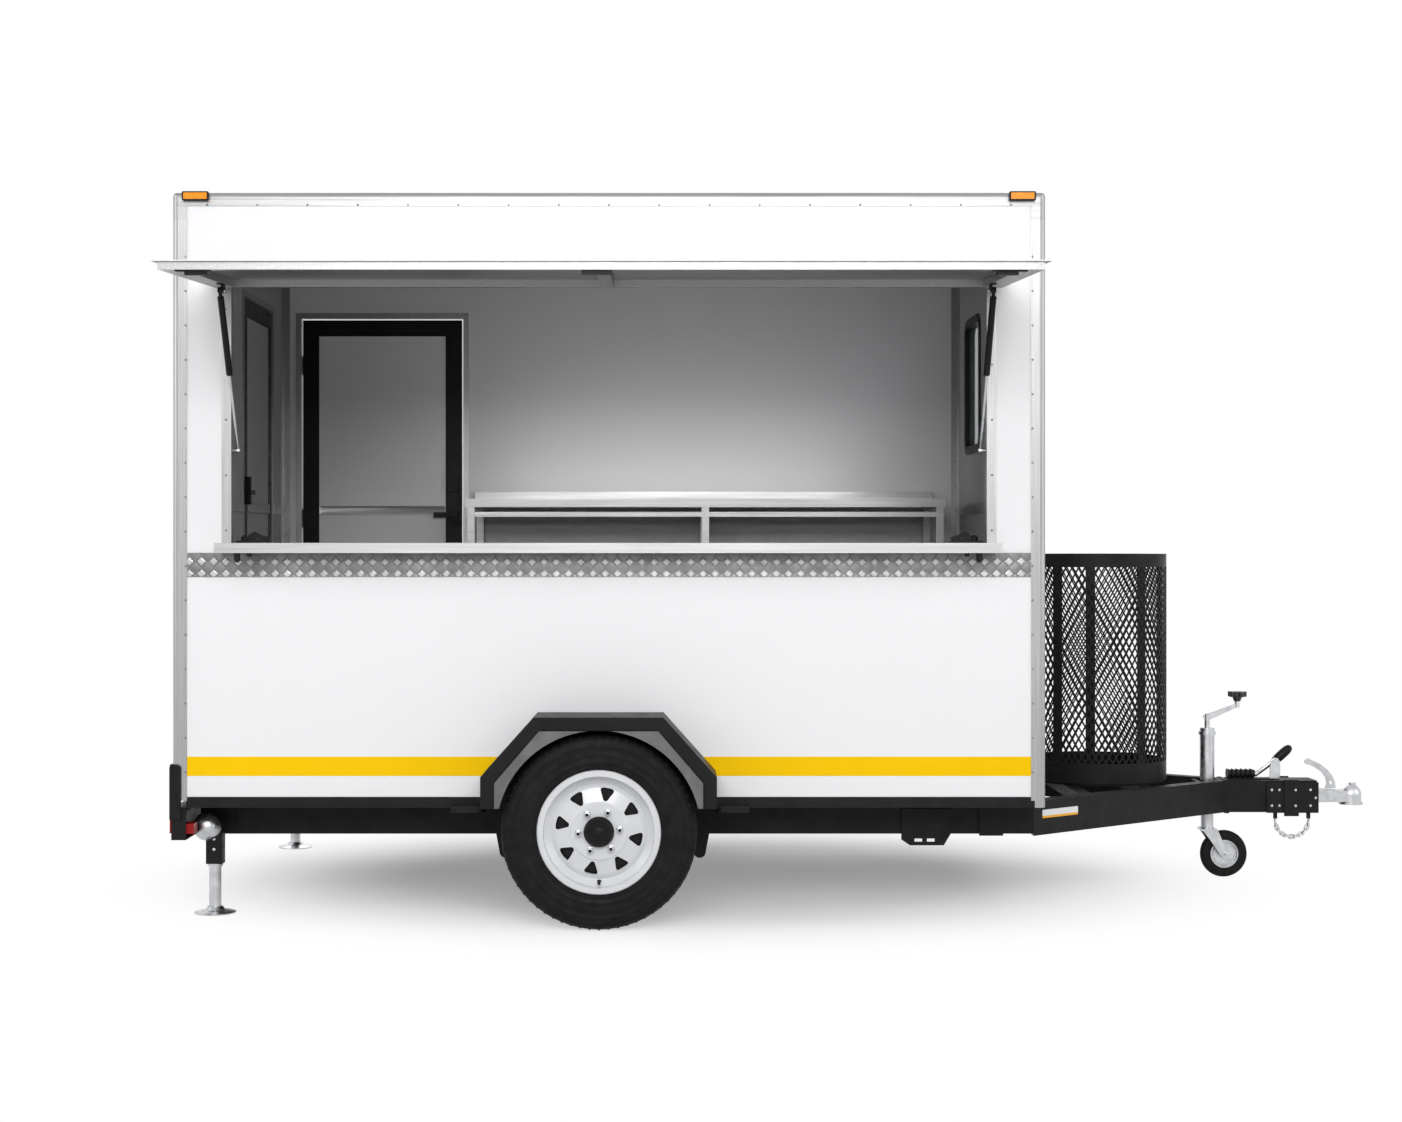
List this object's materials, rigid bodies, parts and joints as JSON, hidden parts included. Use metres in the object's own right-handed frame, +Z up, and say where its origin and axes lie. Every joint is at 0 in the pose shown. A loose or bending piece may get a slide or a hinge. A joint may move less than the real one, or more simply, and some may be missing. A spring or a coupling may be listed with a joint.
{
  "type": "food trailer",
  "caption": "Single-axle box trailer with a lifting serving hatch on gas struts, counter, doors, gas bottle cage, jockey wheel and rear legs.",
  "frame": {"origin": "on the ground under the middle of the axle", "axes": "+X forward along the drawbar, +Y to the left away from the serving hatch, +Z up"},
  "size_m": [4.427, 3.1607, 2.502],
  "materials": {
    "white_panel": "gloss",
    "aluminium": "satin",
    "tread_plate": "quilted",
    "yellow_stripe": "gloss",
    "black_steel": "satin",
    "fender_black": "matte",
    "grey_plate": "satin",
    "zinc_steel": "zinc plated",
    "black_plastic": "matte",
    "rim_paint": "gloss",
    "tyre": "matte",
    "amber_lens": "gloss",
    "red_lens": "gloss",
    "floor_board": "coated",
    "window_glass": "clear"
  },
  "bodies": {
    "root": {"chassis_frame": "black_steel", "drawbar": "black_steel", "floor": "floor_board", "serving_wall": "white_panel", "far_wall": "white_panel", "rear_wall": "white_panel", "front_wall": "white_panel", "roof": "white_panel", "corner_posts": "aluminium", "top_rails": "aluminium", "tread_strip": "tread_plate", "stripes": "yellow_stripe", "counter": "aluminium", "counter_latches": "black_plastic", "hatch_trim": "aluminium", "door_surrounds": "aluminium", "fenders": "fender_black", "arch_plates": "grey_plate", "axle": "black_steel", "leaf_springs": "black_steel", "rear_bar": "black_steel", "tail_lamps": "red_lens", "marker_lamps": "amber_lens", "gas_cage": "black_steel", "gas_cage_mesh": "black_steel", "jockey_stand": "zinc_steel", "coupling_head": "zinc_steel", "coupling_handle": "zinc_steel", "handbrake": "black_steel", "safety_chain": "zinc_steel", "work_table": "aluminium", "rub_rails": "aluminium", "window_frame": "black_plastic", "window_glass": "window_glass"},
    "hatch": {"hatch_skin": "white_panel", "hatch_frame": "aluminium", "hatch_hardware": "black_plastic"},
    "rear_strut_cylinder": {"strut_cylinder_rear": "black_plastic"},
    "rear_strut_rod": {"strut_rod_rear": "zinc_steel"},
    "front_strut_cylinder": {"strut_cylinder_front": "black_plastic"},
    "front_strut_rod": {"strut_rod_front": "zinc_steel"},
    "rear_door": {"rear_door_panel": "white_panel", "rear_door_frame": "black_plastic"},
    "side_door": {"side_door_panel": "white_panel", "side_door_frame": "black_plastic"},
    "wheel_right": {"wheel_rim_right": "rim_paint", "tyre_right": "tyre", "hub_cap_right": "black_plastic"},
    "wheel_left": {"wheel_rim_left": "rim_paint", "tyre_left": "tyre", "hub_cap_left": "black_plastic"},
    "jack_right": {"jack_hub_right": "black_steel", "jack_leg_right": "zinc_steel"},
    "jack_left": {"jack_hub_left": "black_steel", "jack_leg_left": "zinc_steel"},
    "jockey_leg": {"jockey_leg": "zinc_steel"},
    "jockey_fork": {"jockey_fork": "zinc_steel"},
    "jockey_wheel": {"jockey_tyre": "tyre", "jockey_hub": "zinc_steel"}
  },
  "joints": [
    {"name": "hatch_hinge", "type": "hinge", "parent": "root", "child": "hatch", "pos_m": [0.029, -1.034, 2.196], "axis": [1, 0, 0], "range_deg": [0, 87]},
    {"name": "rear_strut_swing", "type": "hinge", "parent": "hatch", "child": "rear_strut_cylinder", "pos_m": [-1.25, -1.28104, 2.13299], "axis": [1, 0, 0], "range_deg": [-115.1, 0]},
    {"name": "rear_strut_slide", "type": "slide", "parent": "rear_strut_cylinder", "child": "rear_strut_rod", "axis": [0, 0.5228, -0.8525], "range_m": [-0.276, 0]},
    {"name": "front_strut_swing", "type": "hinge", "parent": "hatch", "child": "front_strut_cylinder", "pos_m": [1.308, -1.28104, 2.13299], "axis": [1, 0, 0], "range_deg": [-115.1, 0]},
    {"name": "front_strut_slide", "type": "slide", "parent": "front_strut_cylinder", "child": "front_strut_rod", "axis": [0, 0.5228, -0.8525], "range_m": [-0.276, 0]},
    {"name": "rear_door_hinge", "type": "hinge", "parent": "root", "child": "rear_door", "pos_m": [-1.48, 0.707, 1.3], "axis": [0, 0, -1], "range_deg": [0, 110]},
    {"name": "side_door_hinge", "type": "hinge", "parent": "root", "child": "side_door", "pos_m": [-1.35, 1.009, 1.3], "axis": [0, 0, 1], "range_deg": [0, 110]},
    {"name": "wheel_right_spin", "type": "hinge", "parent": "root", "child": "wheel_right", "pos_m": [0, -1.1145, 0.33], "axis": [0, 1, 0], "continuous": true},
    {"name": "wheel_left_spin", "type": "hinge", "parent": "root", "child": "wheel_left", "pos_m": [0, 1.1145, 0.33], "axis": [0, 1, 0], "continuous": true},
    {"name": "jack_right_swing", "type": "hinge", "parent": "root", "child": "jack_right", "pos_m": [-1.38, -0.832, 0.306], "axis": [0, -1, 0], "range_deg": [0, 90]},
    {"name": "jack_left_swing", "type": "hinge", "parent": "root", "child": "jack_left", "pos_m": [-1.38, 0.832, 0.306], "axis": [0, -1, 0], "range_deg": [0, 90]},
    {"name": "jockey_wind", "type": "slide", "parent": "root", "child": "jockey_leg", "axis": [0, 0, 1], "range_m": [-0.09, 0.06]},
    {"name": "jockey_swivel", "type": "hinge", "parent": "jockey_leg", "child": "jockey_fork", "pos_m": [2.33, 0, 0.19], "axis": [0, 0, 1], "continuous": true},
    {"name": "jockey_wheel_spin", "type": "hinge", "parent": "jockey_fork", "child": "jockey_wheel", "pos_m": [2.393, 0, 0.091], "axis": [0, 1, 0], "continuous": true}
  ],
  "couplings": [
    {"joint": "rear_strut_swing", "follows": "hatch_hinge", "ratio": -1.3224},
    {"joint": "rear_strut_slide", "follows": "hatch_hinge", "m_per_rad": -0.18167},
    {"joint": "front_strut_swing", "follows": "hatch_hinge", "ratio": -1.3224},
    {"joint": "front_strut_slide", "follows": "hatch_hinge", "m_per_rad": -0.18167}
  ]
}
